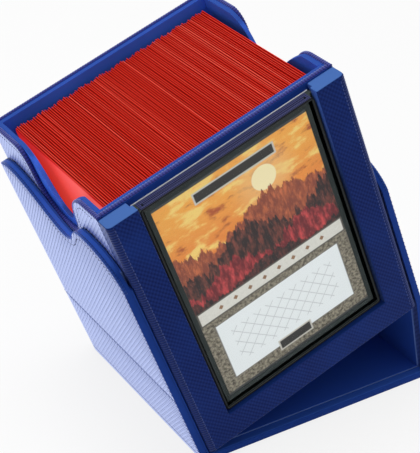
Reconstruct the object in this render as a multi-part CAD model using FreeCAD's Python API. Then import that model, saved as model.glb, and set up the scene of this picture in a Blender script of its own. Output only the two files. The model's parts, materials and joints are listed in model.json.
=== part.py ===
"""Leaning deck box: an outer case that stands level and a deck drawer that leans to the left in it.

The drawer and what it holds are drawn upright in the drawer's own axes (X to the right, Y to the back,
Z up the display front, zero at the top of the front) and are then leaned over and set on the case.
All sizes are in millimetres and all angles in degrees.
"""
import FreeCAD, Part
import math
import os

V = FreeCAD.Vector

# Lean of the drawer, and how far left of the drawer's axes the level part frame starts
LEAN = 19.4
ORIGIN_X = 79.5

# Sleeved cards, which set the inside of the drawer
SLEEVE_W = 66.0
SLEEVE_H = 92.0
SLEEVE_T = 0.7
SLEEVE_PITCH = 0.8
SLEEVE_COUNT = 100
DECK_END_GAP = 2.5
DECK_FRONT_GAP = 3.4
DECK_BACK_GAP = 2.2
DECK_FLOOR_GAP = 0.2

# How far sleeves stand out of line, and the three rates in radians a sleeve at which that swings
STAGGER = 0.45
FLUTTER = 2.3
DRIFT = 0.61
SETTLE = 1.7

# Sheets: wrapped boards and linings of the case and of the drawer, and fits
BOARD = 2.5
LINING = 0.7
DRAWER_BOARD = 1.6
DRAWER_LINING = 1.6
FLOOR_BOARD = 2.1
SLIDE_FIT = 0.3
POCKET_FIT = 0.05

# Drawer: its left face, the wall tops, the deck's top, and the skirt and rail under its floor and slot
DRAWER_LEFT = -2.0
WALL_TOP = 0.5
DECK_TOP = -3.0
SKIRT = 6.7
BEZEL_RAIL = 10.75
BEZEL_T = 6.7
BEZEL_EDGE_R = 1.8
FRONT_BOARD = 2.1

# Display case in the front: card, its chamber, window, back and the grooves that hold it
CARD_W = 63.0
CARD_H = 88.0
CARD_T = 0.8
CARD_FIT = 0.3
CHAMBER_WALL = 1.9
WINDOW_T = 1.3
BACK_T = 2.2
FLANGE = 1.2
SLOT_MARGIN = 0.6
SHOWCASE_TOP = -2.2
SHOWCASE_RISE = 2.2
SHOWCASE_FIT = 0.25
WINDOW_SETBACK = 1.9

# Case: front edge, floor, rounded back corners, lower right side and the foot under its knee
CASE_FRONT = 1.4
CASE_FLOOR = 3.0
FLOOR_CLEAR = 0.43
CORNER_R = 7.0
CORNER_WRAP = 9.5
LINING_SETBACK = 3.0
RIGHT_DROP = 26.5
SLOPE_INSET = 3.0
KNEE_BELOW = 0.9
FOOT_LEAN = 9.6
SEAM_Z = -76.5
SEAM = 0.3

# Runners under the drawer, and hidden magnets
RUNNER_W = 6.0
RUNNER_FRONT = 9.0
RUNNER_DEEP = 6.0
RUNNER_IN = 16.0
RUNNER_GAP = 0.2
MAGNET_D = 8.0
MAGNET_T = 1.0
MAGNET_INSET = 22.0
MAGNET_Z = -72.0

# Finger notch in each drawer side's board and, a little higher, in its lining, as (Y, Z) from the back
BOARD_NOTCH = [
    (67.0, WALL_TOP), (63.6, -0.2), (61.4, -2.6), (60.2, -10.6), (56.6, -19.8), (45.0, -23.7),
    (34.6, -20.2), (30.0, -10.6), (25.2, -3.0), (21.8, -0.6), (18.0, WALL_TOP),
]
LINING_NOTCH = [
    (65.0, WALL_TOP), (61.4, -0.5), (57.8, -3.2), (53.5, -11.8), (48.0, -19.8), (44.4, -20.8),
    (41.0, -19.4), (35.6, -11.2), (28.2, -4.4), (20.0, WALL_TOP),
]

# Overrun of a cutting solid past what it cuts, the height at which blanks end, and a size past all others
CUT = 5.0
SKY = 60.0
FAR = 400.0
TINY = 1e-6

# Sizes that follow from the ones above
SIN = math.sin(math.radians(LEAN))
COS = math.cos(math.radians(LEAN))
WALL = BOARD + LINING
DRAWER_WALL = DRAWER_BOARD + DRAWER_LINING
DECK_L = SLEEVE_COUNT * SLEEVE_PITCH
DRAWER_RIGHT = DRAWER_LEFT + DECK_L + 2 * DECK_END_GAP + 2 * DRAWER_WALL
MIDDLE = (DRAWER_LEFT + DRAWER_RIGHT) / 2
FRONT_IN = BEZEL_T + FRONT_BOARD + DRAWER_LINING
DECK_FRONT = FRONT_IN + DECK_FRONT_GAP
BACK_IN = DECK_FRONT + SLEEVE_W + DECK_BACK_GAP
DRAWER_BACK = BACK_IN + DRAWER_WALL
DECK_BOTTOM = DECK_TOP - SLEEVE_H
FLOOR_TOP = DECK_BOTTOM - DECK_FLOOR_GAP
FLOOR_UNDER = FLOOR_TOP - DRAWER_LINING - FLOOR_BOARD
SHOWCASE_BOTTOM = SHOWCASE_TOP - SHOWCASE_RISE - CARD_H - CARD_FIT - CHAMBER_WALL
SLOT_FOOT = SHOWCASE_BOTTOM - SHOWCASE_FIT
SLAB_HALF = CARD_W / 2 + CARD_FIT + CHAMBER_WALL
RIM_FRONT = WINDOW_SETBACK + WINDOW_T
PLATE_FRONT = RIM_FRONT + CARD_T + CARD_FIT
DRAWER_BOTTOM = min(FLOOR_UNDER - SKIRT, SLOT_FOOT - BEZEL_RAIL)
CAVITY_LEFT = DRAWER_LEFT - SLIDE_FIT
CAVITY_RIGHT = DRAWER_RIGHT + SLIDE_FIT
CAVITY_BACK = DRAWER_BACK + SLIDE_FIT
CASE_BACK = CAVITY_BACK + WALL
CAVITY_FLOOR = CASE_FLOOR + LINING
ORIGIN_Y = (CASE_FRONT + CASE_BACK) / 2
ORIGIN_Z = CAVITY_FLOOR + FLOOR_CLEAR - DRAWER_LEFT * SIN - DRAWER_BOTTOM * COS
MAGNET_SPOTS = [DRAWER_LEFT + MAGNET_INSET, DRAWER_RIGHT - MAGNET_INSET]

# Rim of the case's left side, as (Y, Z) from behind its back to just before its front
CASE_RIM = [
    (CASE_BACK + 0.3, -18.2), (CASE_BACK - 4.2, -14.6), (CASE_BACK - 13.7, -12.0), (62.4, -15.0),
    (51.6, -21.0), (42.0, -24.1), (34.4, -21.4), (28.0, -15.0), (16.0, -13.7), (6.4, -18.0),
    (CASE_FRONT - 0.4, -29.4),
]


def lean(shape):
    """Lean a shape drawn in the drawer's axes and set it in the part frame."""
    placed = shape.copy()
    placed.rotate(V(0, 0, 0), V(0, 1, 0), -LEAN)
    placed.translate(V(-ORIGIN_X, -ORIGIN_Y, ORIGIN_Z))
    return placed


def level(x, z):
    """The place in the part frame's (X, Z) of a point in the drawer's (X, Z)."""
    return (x * COS - z * SIN - ORIGIN_X, x * SIN + z * COS + ORIGIN_Z)


def box(x0, x1, y0, y1, z0, z1):
    """A box between two corners."""
    return Part.makeBox(x1 - x0, y1 - y0, z1 - z0, V(x0, y0, z0))


def prism(points, y0, y1):
    """A solid from a closed outline of (X, Z) points, drawn from y0 to y1."""
    loop = [V(x, y0, z) for x, z in points]
    face = Part.Face(Part.makePolygon(loop + loop[:1]))
    return face.extrude(V(0, y1 - y0, 0))


def meet(p, u, q, w):
    """Where two lines cross, each given by a point and a direction in (X, Z)."""
    cross = u[0] * w[1] - u[1] * w[0]
    s = ((q[0] - p[0]) * w[1] - (q[1] - p[1]) * w[0]) / cross
    return (p[0] + s * u[0], p[1] + s * u[1])


def section(grow, floor_grow, y0, y1):
    """Solid of the case's cavity between two depths, grown outward at the walls and down at the floor."""
    up = (-SIN, COS)
    foot = (-math.sin(math.radians(FOOT_LEAN)), math.cos(math.radians(FOOT_LEAN)))
    left = level(CAVITY_LEFT - grow, 0)
    right = level(CAVITY_RIGHT + grow, 0)
    knee = level(CAVITY_RIGHT, DRAWER_BOTTOM - KNEE_BELOW)
    knee_out = (knee[0] + grow * foot[1], knee[1] - grow * foot[0])
    ground = (0.0, CAVITY_FLOOR - floor_grow)
    flat = (1.0, 0.0)
    points = [
        meet(left, up, ground, flat),
        level(CAVITY_LEFT - grow, SKY),
        level(CAVITY_RIGHT + grow, SKY),
        meet(right, up, knee_out, foot),
        meet(knee_out, foot, ground, flat),
    ]
    return prism(points, y0 - ORIGIN_Y, y1 - ORIGIN_Y)


def above(points, x0, x1, drop=0.0):
    """Solid over a rim line, to cut a wall's top: a spline through the points, closed off far above."""
    knots = [V(x0, y, z - drop) for y, z in points]
    curve = Part.BSplineCurve()
    curve.interpolate(knots)
    tops = [V(x0, knots[-1].y, SKY + CUT), V(x0, knots[0].y, SKY + CUT)]
    side = Part.makePolygon([knots[-1]] + tops + [knots[0]])
    wire = Part.Wire([curve.toShape()] + side.Edges)
    return Part.Face(wire).extrude(V(x1 - x0, 0, 0))


def disc(x, y, fit):
    """A magnet, or its pocket, as a disc that goes back from y."""
    return Part.makeCylinder(MAGNET_D / 2 + fit, MAGNET_T + fit, V(x, y, MAGNET_Z), V(0, 1, 0))


def pick(shape, left_side):
    """The solids of a shape that lie at the left or at the right of the middle."""
    found = [s for s in shape.Solids if (s.CenterOfMass.x < 0) == left_side]
    return Part.makeCompound(found) if len(found) > 1 else found[0]


def under(height):
    """Everything under a height in the part frame."""
    return box(-FAR, FAR, -FAR, FAR, -FAR, height)


def is_upright(edge):
    """Whether an edge stands up more than it leans."""
    along = edge.tangentAt(edge.FirstParameter)
    return abs(along.z) > math.hypot(along.x, along.y)


def build_case():
    """Boards, linings, runners and magnets of the case."""
    left_rim = lean(above(CASE_RIM, CAVITY_LEFT - WALL - CUT, CAVITY_LEFT + CORNER_WRAP))
    right_rim = lean(above(CASE_RIM, CAVITY_RIGHT - CORNER_WRAP, CAVITY_RIGHT + WALL + CUT, RIGHT_DROP))
    back_z = CASE_RIM[0][1]
    slope = [
        (CAVITY_LEFT - FAR, back_z), (CAVITY_LEFT + SLOPE_INSET, back_z),
        (CAVITY_RIGHT - SLOPE_INSET, back_z - RIGHT_DROP), (CAVITY_RIGHT + FAR, back_z - RIGHT_DROP),
        (CAVITY_RIGHT + FAR, SKY + CUT), (CAVITY_LEFT - FAR, SKY + CUT),
    ]
    back_rim = lean(prism(slope, BACK_IN, CASE_BACK + CUT))

    outer = section(WALL, CAVITY_FLOOR, CASE_FRONT, CASE_BACK)
    rear = [e for e in outer.Edges if abs(e.CenterOfMass.y - (CASE_BACK - ORIGIN_Y)) < TINY]
    outer = outer.makeFillet(CORNER_R, [e for e in rear if is_upright(e)])
    shell = outer.cut(section(LINING, LINING, CASE_FRONT - CUT, CASE_BACK - BOARD))
    walls = shell.cut(under(CASE_FLOOR))
    between = section(WALL - CORNER_WRAP, CAVITY_FLOOR, CAVITY_BACK, CASE_BACK + CUT)
    back = walls.common(between).cut(back_rim)
    sides = walls.cut(between)
    outside = CAVITY_LEFT - WALL
    seam = box(outside - CUT, outside + SEAM, -FAR, FAR, SEAM_Z - SEAM, SEAM_Z + SEAM)

    lined_front = CASE_FRONT + LINING_SETBACK
    lined_back = CAVITY_BACK + LINING
    inner = section(0, 0, CASE_FRONT - CUT, CAVITY_BACK)
    side_lining = section(LINING, 0, lined_front, CAVITY_BACK).cut(inner)
    floor_lining = section(LINING, LINING, lined_front, lined_back).common(under(CAVITY_FLOOR))
    back_lining = section(LINING, 0, CAVITY_BACK, lined_back)

    runner_top = DRAWER_BOTTOM - RUNNER_GAP
    cavity = section(0, 0, RUNNER_FRONT, CAVITY_BACK)
    left_in = DRAWER_LEFT + RUNNER_IN
    left_bar = box(left_in, left_in + RUNNER_W, -FAR, FAR, runner_top - FAR, runner_top)
    right_bar = box(DRAWER_RIGHT - RUNNER_W, FAR, -FAR, FAR, runner_top - RUNNER_DEEP, runner_top)

    for x in MAGNET_SPOTS:
        back = back.cut(lean(disc(x, CASE_BACK - BOARD, POCKET_FIT)))
    magnets = [lean(disc(x, CASE_BACK - BOARD, 0)) for x in MAGNET_SPOTS]

    return {
        "case_left_wall": pick(sides, True).cut(left_rim).cut(lean(seam)),
        "case_right_wall": pick(sides, False).cut(right_rim),
        "case_back_wall": back,
        "case_floor": shell.common(under(CASE_FLOOR)),
        "case_left_lining": pick(side_lining, True).cut(left_rim),
        "case_right_lining": pick(side_lining, False).cut(right_rim),
        "case_back_lining": back_lining.cut(back_rim),
        "case_floor_lining": floor_lining,
        "deck_runner_left": lean(left_bar).common(cavity),
        "deck_runner_right": lean(right_bar).common(cavity),
        "case_magnets": Part.makeCompound(magnets),
    }


def build_bezel():
    """The display front: a rounded frame with a slot that the display case slides into from above."""
    blank = box(DRAWER_LEFT, DRAWER_RIGHT, 0, BEZEL_T, DRAWER_BOTTOM, 0)
    front_edges = [e for e in blank.Edges if abs(e.CenterOfMass.y) < TINY]
    blank = blank.makeFillet(BEZEL_EDGE_R, [e for e in front_edges if is_upright(e)])
    mouth = SLAB_HALF + SLOT_MARGIN
    wide = SLAB_HALF + FLANGE + SHOWCASE_FIT
    groove = PLATE_FRONT - SHOWCASE_FIT
    opening = box(MIDDLE - mouth, MIDDLE + mouth, -CUT, BEZEL_T + CUT, SLOT_FOOT, CUT)
    grooves = box(MIDDLE - wide, MIDDLE + wide, groove, BEZEL_T + CUT, SLOT_FOOT, CUT)
    return blank.cut(opening.fuse(grooves))


def build_drawer():
    """Boards, linings, display front and magnets of the deck drawer."""
    left = DRAWER_LEFT
    right = DRAWER_RIGHT
    back_face = DRAWER_BACK - DRAWER_BOARD
    board_notch = above(BOARD_NOTCH, left - CUT, right + CUT)
    lining_notch = above(LINING_NOTCH, left - CUT, right + CUT)
    left_wall = box(left, left + DRAWER_BOARD, BEZEL_T, DRAWER_BACK, DRAWER_BOTTOM, WALL_TOP)
    right_wall = box(right - DRAWER_BOARD, right, BEZEL_T, DRAWER_BACK, DRAWER_BOTTOM, WALL_TOP)
    left_lining = box(left + DRAWER_BOARD, left + DRAWER_WALL, FRONT_IN, BACK_IN, FLOOR_TOP, WALL_TOP)
    right_lining = box(right - DRAWER_WALL, right - DRAWER_BOARD, FRONT_IN, BACK_IN, FLOOR_TOP, WALL_TOP)

    inside = (left + DRAWER_BOARD, right - DRAWER_BOARD)
    front_face = BEZEL_T + FRONT_BOARD
    floor_mid = FLOOR_TOP - DRAWER_LINING
    back_wall = box(*inside, back_face, DRAWER_BACK, DRAWER_BOTTOM, WALL_TOP)
    for x in MAGNET_SPOTS:
        back_wall = back_wall.cut(disc(x, back_face, POCKET_FIT))

    shapes = {
        "drawer_left_wall": left_wall.cut(board_notch),
        "drawer_right_wall": right_wall.cut(board_notch),
        "drawer_front_wall": box(*inside, BEZEL_T, front_face, DRAWER_BOTTOM, WALL_TOP),
        "drawer_back_wall": back_wall,
        "drawer_floor": box(*inside, front_face, back_face, FLOOR_UNDER, floor_mid),
        "drawer_left_lining": left_lining.cut(lining_notch),
        "drawer_right_lining": right_lining.cut(lining_notch),
        "drawer_front_lining": box(*inside, front_face, FRONT_IN, FLOOR_TOP, WALL_TOP),
        "drawer_back_lining": box(*inside, BACK_IN, back_face, FLOOR_TOP, WALL_TOP),
        "drawer_floor_lining": box(*inside, front_face, back_face, floor_mid, FLOOR_TOP),
        "display_bezel": build_bezel(),
        "drawer_magnets": Part.makeCompound([disc(x, back_face, 0) for x in MAGNET_SPOTS]),
    }
    return {name: lean(shape) for name, shape in shapes.items()}


def build_showcase():
    """The display case that slides into the front, and the card that it shows."""
    def sheet(half, y0, y1, z0, z1):
        return box(MIDDLE - half, MIDDLE + half, y0, y1, z0, z1)

    foot = SHOWCASE_BOTTOM
    room_foot = foot + CHAMBER_WALL
    card_foot = room_foot + CARD_FIT
    card_back = PLATE_FRONT - CARD_FIT / 2
    plate = sheet(SLAB_HALF + FLANGE, PLATE_FRONT, PLATE_FRONT + BACK_T, foot, SHOWCASE_TOP)
    rim = sheet(SLAB_HALF, RIM_FRONT, PLATE_FRONT, foot, SHOWCASE_TOP)
    room = sheet(SLAB_HALF - CHAMBER_WALL, RIM_FRONT - CUT, PLATE_FRONT, room_foot, SHOWCASE_TOP + CUT)
    back = plate.fuse(rim.cut(room)).removeSplitter()
    window = sheet(SLAB_HALF, WINDOW_SETBACK, RIM_FRONT, foot, SHOWCASE_TOP)
    card = sheet(CARD_W / 2, card_back - CARD_T, card_back, card_foot, card_foot + CARD_H)
    return {"showcase_back": lean(back), "showcase_window": lean(window), "display_card": lean(card)}


def build_deck():
    """A full deck of sleeves, each a little out of line with the next."""
    first = DRAWER_LEFT + DRAWER_WALL + DECK_END_GAP
    sleeves = []
    for i in range(SLEEVE_COUNT):
        x = first + i * SLEEVE_PITCH
        y = DECK_FRONT + STAGGER * (math.sin(FLUTTER * i) + math.sin(DRIFT * i))
        top = DECK_TOP - STAGGER * (1 + math.sin(SETTLE * i)) / 2
        sleeves.append(box(x, x + SLEEVE_T, y, y + SLEEVE_W, DECK_BOTTOM, top))
    return {"deck_cards": lean(Part.makeCompound(sleeves))}


os.makedirs("parts", exist_ok=True)
for group in (build_case(), build_drawer(), build_showcase(), build_deck()):
    for name, shape in group.items():
        shape.exportStep("parts/" + name + ".step")
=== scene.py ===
"""Looks of a leaning deck box: wrapped boards, linings, display case, card, sleeves, stitching and stage.

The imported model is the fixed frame. Lengths inside the materials are in millimetres, and in meshes in metres.
Leaned axes follow the drawer: across to the right, back, and up along the display front.
"""
import json
import math

import bpy
import numpy as np
from bpy.props import FloatProperty, FloatVectorProperty, PointerProperty
from bpy.types import Operator, Panel, PropertyGroup
from mathutils import Matrix, Vector


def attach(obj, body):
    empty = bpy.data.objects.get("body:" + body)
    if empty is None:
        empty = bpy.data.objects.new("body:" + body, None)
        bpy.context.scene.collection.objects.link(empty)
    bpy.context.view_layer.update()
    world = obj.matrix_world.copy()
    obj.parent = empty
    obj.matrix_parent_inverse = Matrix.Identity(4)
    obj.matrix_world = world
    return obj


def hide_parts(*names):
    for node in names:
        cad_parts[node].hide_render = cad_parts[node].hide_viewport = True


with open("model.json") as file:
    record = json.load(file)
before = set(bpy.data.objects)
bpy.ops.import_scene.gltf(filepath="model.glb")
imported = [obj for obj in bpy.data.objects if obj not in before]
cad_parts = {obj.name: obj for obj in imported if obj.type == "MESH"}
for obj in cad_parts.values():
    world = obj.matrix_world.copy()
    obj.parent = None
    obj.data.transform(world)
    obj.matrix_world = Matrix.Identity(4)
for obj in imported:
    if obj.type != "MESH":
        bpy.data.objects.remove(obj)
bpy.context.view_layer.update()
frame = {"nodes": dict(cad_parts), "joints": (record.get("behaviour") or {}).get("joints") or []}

bl_info = {
    "name": "Leaning deck box",
    "version": (1, 0, 0),
    "blender": (4, 5, 0),
    "location": "View3D > Sidebar > Deck box",
    "description": "Wraps, lines, fills and stages the packed deck box",
    "category": "Object",
}

MM = 0.001
# Farther off than any place on the box, in metres
FAR = 1000.0

UP = np.array([j["axis"] for j in frame["joints"] if j["name"] == "showcase_slide"][0], float)
UP /= np.linalg.norm(UP)
BACK = np.array([0.0, 1.0, 0.0])
ACROSS = np.cross(BACK, UP)
AXES = np.array([ACROSS, BACK, UP])
LEAN = math.atan2(-UP[0], UP[2])

CASE_BOARDS = ("case_left_wall", "case_right_wall", "case_back_wall", "case_floor")
DRAWER_BOARDS = ("drawer_left_wall", "drawer_right_wall", "drawer_front_wall", "drawer_back_wall",
                 "drawer_floor")
CASE_LININGS = ("case_left_lining", "case_right_lining", "case_back_lining")
DRAWER_LININGS = ("drawer_left_lining", "drawer_right_lining", "drawer_front_lining", "drawer_back_lining",
                  "drawer_floor_lining")

# Which way a wall looks, and the direction square to its ribs, along the leaned axes
WALL_RIBS = {"left": ((-1, 0, 0), (0, 1, 1)), "right": ((1, 0, 0), (0, 1, 1)), "back": ((0, 1, 0), (1, 0, 1))}
# Direction square to the display front's stronger ribs, along the leaned axes
FRONT_RISE = (0.785, 0.0, 0.619)

# Rolled rims: node, side, reach below its top, body, width and how far it stands out, in millimetres
RIMS = (("drawer_left_wall", -1, 30, "deck_drawer", 1.7, 0.15),
        ("drawer_right_wall", 1, 30, "deck_drawer", 1.7, 0.15),
        ("case_left_wall", -1, 20, "case", 1.1, -0.04),
        ("case_right_wall", 1, 20, "case", 1.1, -0.04))

# The camera of the photograph, in metres and pixels
EYE = (-0.2592, -0.40505, 0.3356)
LOOK = (0.4438, 0.7439, -0.4994)
RIGHT = (0.8548, -0.5188, -0.0129)
FOCUS = 1538.8
PICTURE = (420, 453)
AIM = (213.0, 225.6)
SENSOR = 36.0


def length(name, text, value):
    """A length property, in metres from a value in millimetres."""
    return FloatProperty(name=name, description=text, default=value * MM, unit="LENGTH", subtype="DISTANCE")


def spacing(name, text, value):
    """A plain number of millimetres, for the materials."""
    return FloatProperty(name=name, description=text + ", in millimetres", default=value, min=0.2)


def colour(name, text, value):
    """A colour property, in linear light."""
    return FloatVectorProperty(name=name, description=text, subtype="COLOR", size=3, default=value,
                               min=0.0, max=1.0)


class DeckBoxSizes(PropertyGroup):
    """Sizes of the finish that a user would change."""

    rib_pitch: spacing("Rib pitch", "Distance between ribs of the leatherette", 1.36)
    front_pitch: spacing("Front rib pitch", "Distance between ribs on the display front", 1.26)
    rib_height: length("Rib height", "Height of the ribs of the leatherette", 0.1)
    front_round: length("Front rounding", "Rounding of the display front's side edges", 1.8)
    edge_round: length("Edge rounding", "Rounding of the wrapped boards' edges", 0.55)
    lining_round: length("Lining rounding", "Rounding of the linings' edges", 0.2)
    pad_round: length("Pad rounding", "Rounding of the drawer's padded lining", 0.4)
    roll_pitch: length("Fold pitch", "Distance between folds of the rolled edges", 1.05)
    stitch_pitch: length("Stitch pitch", "Distance between stitches", 1.5)
    stitch_length: length("Stitch length", "Length of one stitch", 1.05)
    stitch_width: length("Stitch width", "Thickness of the thread", 0.36)
    sleeve_pitch: length("Sleeve pitch", "Distance between sleeves in the deck", 0.8)
    lip: length("Sleeve lip", "Width of a sleeve's pinched lip", 0.30)
    grip_pitch: length("Grip pitch", "Distance between ribs on the display case's top", 0.6)


class DeckBoxColours(PropertyGroup):
    """Colours of the finishes that a user would change."""

    # Rib colours: the darker groove is painted shade between the ribs
    ridge: colour("Rib ridge", "Leatherette on top of a rib", (0.013, 0.034, 0.19))
    groove: colour("Rib groove", "Leatherette between ribs", (0.006, 0.015, 0.10))
    edge: colour("Turned edge", "Smooth leatherette on the boards' edges", (0.016, 0.058, 0.32))
    # Painted light: rim, stile and slot are lighter colours for edges that face up, the display front's top and
    # its slot's walls
    rim: colour("Rim", "Smooth leatherette on edges that face up", (0.035, 0.110, 0.50))
    stile: colour("Display front's top", "Smooth top of the display front", (0.060, 0.145, 0.42))
    slot: colour("Slot walls", "Smooth walls of the display front's slot", (0.045, 0.12, 0.50))
    sheen: colour("Sheen", "Gloss of the ribs when they are seen flat", (0.60, 0.68, 1.0))
    roll: colour("Rolled edge", "Ridges of the leatherette rolled over the rims", (0.044, 0.052, 0.29))
    # The folds' colour is painted shade between the ridges; it is also the thread of the stitches under the
    # rims
    roll_low: colour("Rolled edge's folds", "Folds between those ridges", (0.016, 0.019, 0.12))
    lining: colour("Case lining", "Smooth lining of the case", (0.023, 0.075, 0.40))
    # The drawer's lining is a lighter copy of the case's lining: painted light
    pad: colour("Drawer lining", "Smooth padded lining of the drawer", (0.05, 0.16, 0.80))
    # Painted highlight: a lighter colour on the front faces of the case's lining at its front end
    lining_edge_highlight: colour("Lining edge", "Front edge of the case's lining", (0.10, 0.17, 0.42))
    thread: colour("Thread", "Stitching thread", (0.05, 0.085, 0.30))
    runner: colour("Runner", "Runners under the drawer", (0.010, 0.018, 0.07))
    metal: colour("Magnet", "Plating of the magnets", (0.75, 0.75, 0.77))
    black: colour("Window frame", "Black plastic of the window's frame", (0.006, 0.006, 0.007))
    mask: colour("Display case", "Dark grey of the display case and its mask", (0.042, 0.052, 0.052))
    grip: colour("Grip", "Ribs on the display case's top", (0.048, 0.053, 0.15))
    # The grooves' near black is painted shade between the grip's ribs
    grip_low: colour("Grip grooves", "Grooves between those ribs", (0.003, 0.003, 0.016))
    # Painted highlight: the display case's back edge is coloured near white
    edge_glint: colour("Polished edge", "Bright back edge of the display case", (0.88, 0.90, 0.93))
    sleeve: colour("Sleeve", "Film of the sleeves", (0.43, 0.006, 0.002))
    # Painted highlight: the sleeves' lips are lighter than their film
    lip: colour("Sleeve lip", "Edge of the sleeves' film", (0.76, 0.030, 0.016))
    # Painted glow: an emission on the first sleeve's face that stands in for light through its film
    glow: colour("Sleeve glow", "Light that comes through the first sleeve's film", (0.95, 0.135, 0.105))


def leaned_points(node):
    """All vertices of a CAD node along the leaned axes, in metres."""
    mesh = frame["nodes"][node].data
    flat = np.empty(len(mesh.vertices) * 3)
    mesh.vertices.foreach_get("co", flat)
    return flat.reshape(-1, 3) @ AXES.T


def span(node):
    """Lowest and highest place of a CAD node along the three leaned axes."""
    leaned = leaned_points(node)
    return leaned.min(0), leaned.max(0)


def join(across, back, up):
    """Points from places along the three leaned axes, which are spread to one shape."""
    return np.stack(np.broadcast_arrays(across, back, up), -1)


def triangles(mesh):
    """The vertices of a mesh's triangles, three to a row."""
    mesh.calc_loop_triangles()
    corners = np.empty(len(mesh.loop_triangles) * 3, np.int32)
    mesh.loop_triangles.foreach_get("vertices", corners)
    return corners.reshape(-1, 3)


def give(thing, **fields):
    """Set fields of a thing and hand it back."""
    for name, value in fields.items():
        setattr(thing, name, value)
    return thing


def new_object(name, data):
    """An object in the scene's own collection."""
    made = bpy.data.objects.new(name, data)
    bpy.context.scene.collection.objects.link(made)
    return made


def strip_faces(rows, columns, close_rows=False, close_columns=False):
    """Quads of a grid whose point (i, j) has the index i * columns + j, closed round where asked."""
    i = np.arange(rows if close_rows else rows - 1)[:, None]
    j = np.arange(columns if close_columns else columns - 1)[None, :]
    next_i, next_j = (i + 1) % rows, (j + 1) % columns
    corners = [i * columns + j, i * columns + next_j, next_i * columns + next_j, next_i * columns + j]
    return np.stack(corners, -1).reshape(-1, 4)


def copies(faces, count, points_each):
    """The same faces for each of several like shapes that follow one another in one array of points."""
    return (faces[None] + (np.arange(count) * points_each)[:, None, None]).reshape(-1, faces.shape[-1])


def make_piece(name, leaned, faces, body, material, smooth=True):
    """A mesh object from points along the leaned axes, which rides on a body with its place in its mesh.

    The points lie round closed shapes. The sign of the volume in them turns the faces outwards."""
    points = leaned.reshape(-1, 3) @ AXES
    mesh = bpy.data.meshes.new(name)
    mesh.from_pydata(points.tolist(), [], [tuple(f) for f in faces])
    mesh.validate()
    a, b, c = np.moveaxis((points - points.mean(0))[triangles(mesh)], 1, 0)
    if (np.cross(a, b) * c).sum() < 0:
        mesh.flip_normals()
    mesh.polygons.foreach_set("use_smooth", [smooth] * len(mesh.polygons))
    mesh.materials.append(material)
    piece = new_object(name, mesh)
    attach(piece, body)
    return piece


def mark(piece, name, values):
    """Give each point of a piece a named value that its material reads."""
    layer = piece.data.attributes.new(name, "FLOAT", "POINT")
    layer.data.foreach_set("value", np.ascontiguousarray(values, np.float32).ravel())


def tube(name, grid, body, material, smooth=True, ridge=None):
    """A closed piece from a grid of stations by points round it, with flat ends.

    Where each station has a ridge value, the piece's points are marked with it."""
    rows, columns = grid.shape[:2]
    last = (rows - 1) * columns
    ends = [tuple(range(columns))[::-1], tuple(range(last, last + columns))]
    faces = [*strip_faces(rows, columns, close_columns=True), *ends]
    piece = make_piece(name, grid, faces, body, material, smooth)
    if ridge is not None:
        mark(piece, "ridge", np.broadcast_to(ridge[:, None], (rows, columns)))
    return piece


def add(tree, kind, values=None, **fields):
    """Add a shader node, set its fields, and link or set its inputs."""
    made = give(tree.nodes.new("ShaderNode" + kind), **fields)
    for name, value in (values or {}).items():
        put(tree, made.inputs[name], value)
    return made


def put(tree, socket, value):
    """Link a socket to another node's output, or set its plain value."""
    if isinstance(value, bpy.types.NodeSocket):
        tree.links.new(value, socket)
    else:
        socket.default_value = value


def use(tree, group, values=None):
    """The outputs of a node group."""
    return add(tree, "Group", values, node_tree=group).outputs


def attribute(tree, name):
    """A piece's own named value."""
    return add(tree, "Attribute", attribute_name=name).outputs["Fac"]


def calc(tree, operation, *values):
    """A Math node's result."""
    return add(tree, "Math", dict(enumerate(values)), operation=operation).outputs[0]


def ease(tree, value, low, high):
    """A soft step from 0 at low to 1 at high, falling where low is above high."""
    start, end = (0.0, 1.0) if low < high else (1.0, 0.0)
    values = {"Value": value, "From Min": min(low, high), "From Max": max(low, high),
              "To Min": start, "To Max": end}
    return add(tree, "MapRange", values, interpolation_type="SMOOTHSTEP").outputs[0]


def blend(tree, share, first, second):
    """A colour between two colours."""
    made = add(tree, "Mix", data_type="RGBA")
    put(tree, made.inputs[0], share)
    for socket, value in ((made.inputs[6], first), (made.inputs[7], second)):
        put(tree, socket, value if isinstance(value, bpy.types.NodeSocket) else (*value, 1.0))
    return made.outputs[2]


def noise(tree, vector, scale, detail=2.0, roughness=0.5):
    """Noise between 0 and 1."""
    values = {"Vector": vector, "Scale": scale, "Detail": detail, "Roughness": roughness}
    return add(tree, "TexNoise", values).outputs[0]


def here(tree):
    """Object coordinates, in metres."""
    return add(tree, "TexCoord").outputs["Object"]


def new_group(name, inputs, outputs):
    """An empty shader node group with named value sockets, and its inside ends."""
    group = bpy.data.node_groups.new(name, "ShaderNodeTree")
    for title, default in inputs.items():
        socket = group.interface.new_socket(title, in_out="INPUT", socket_type="NodeSocketFloat")
        socket.default_value = default
    for title in outputs:
        group.interface.new_socket(title, in_out="OUTPUT", socket_type="NodeSocketFloat")
    return group, group.nodes.new("NodeGroupInput"), group.nodes.new("NodeGroupOutput")


def place_group():
    """Place of a point along the leaned axes, in millimetres, from Object coordinates."""
    group, _, out = new_group("Leaned place", {}, ("Across", "Back", "Up"))
    values = {"Vector": here(group), "Rotation": (0, LEAN, 0), "Scale": (1 / MM,) * 3}
    parts = add(group, "SeparateXYZ", {0: add(group, "Mapping", values).outputs[0]})
    for i in range(3):
        group.links.new(parts.outputs[i], out.inputs[i])
    return group


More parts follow.
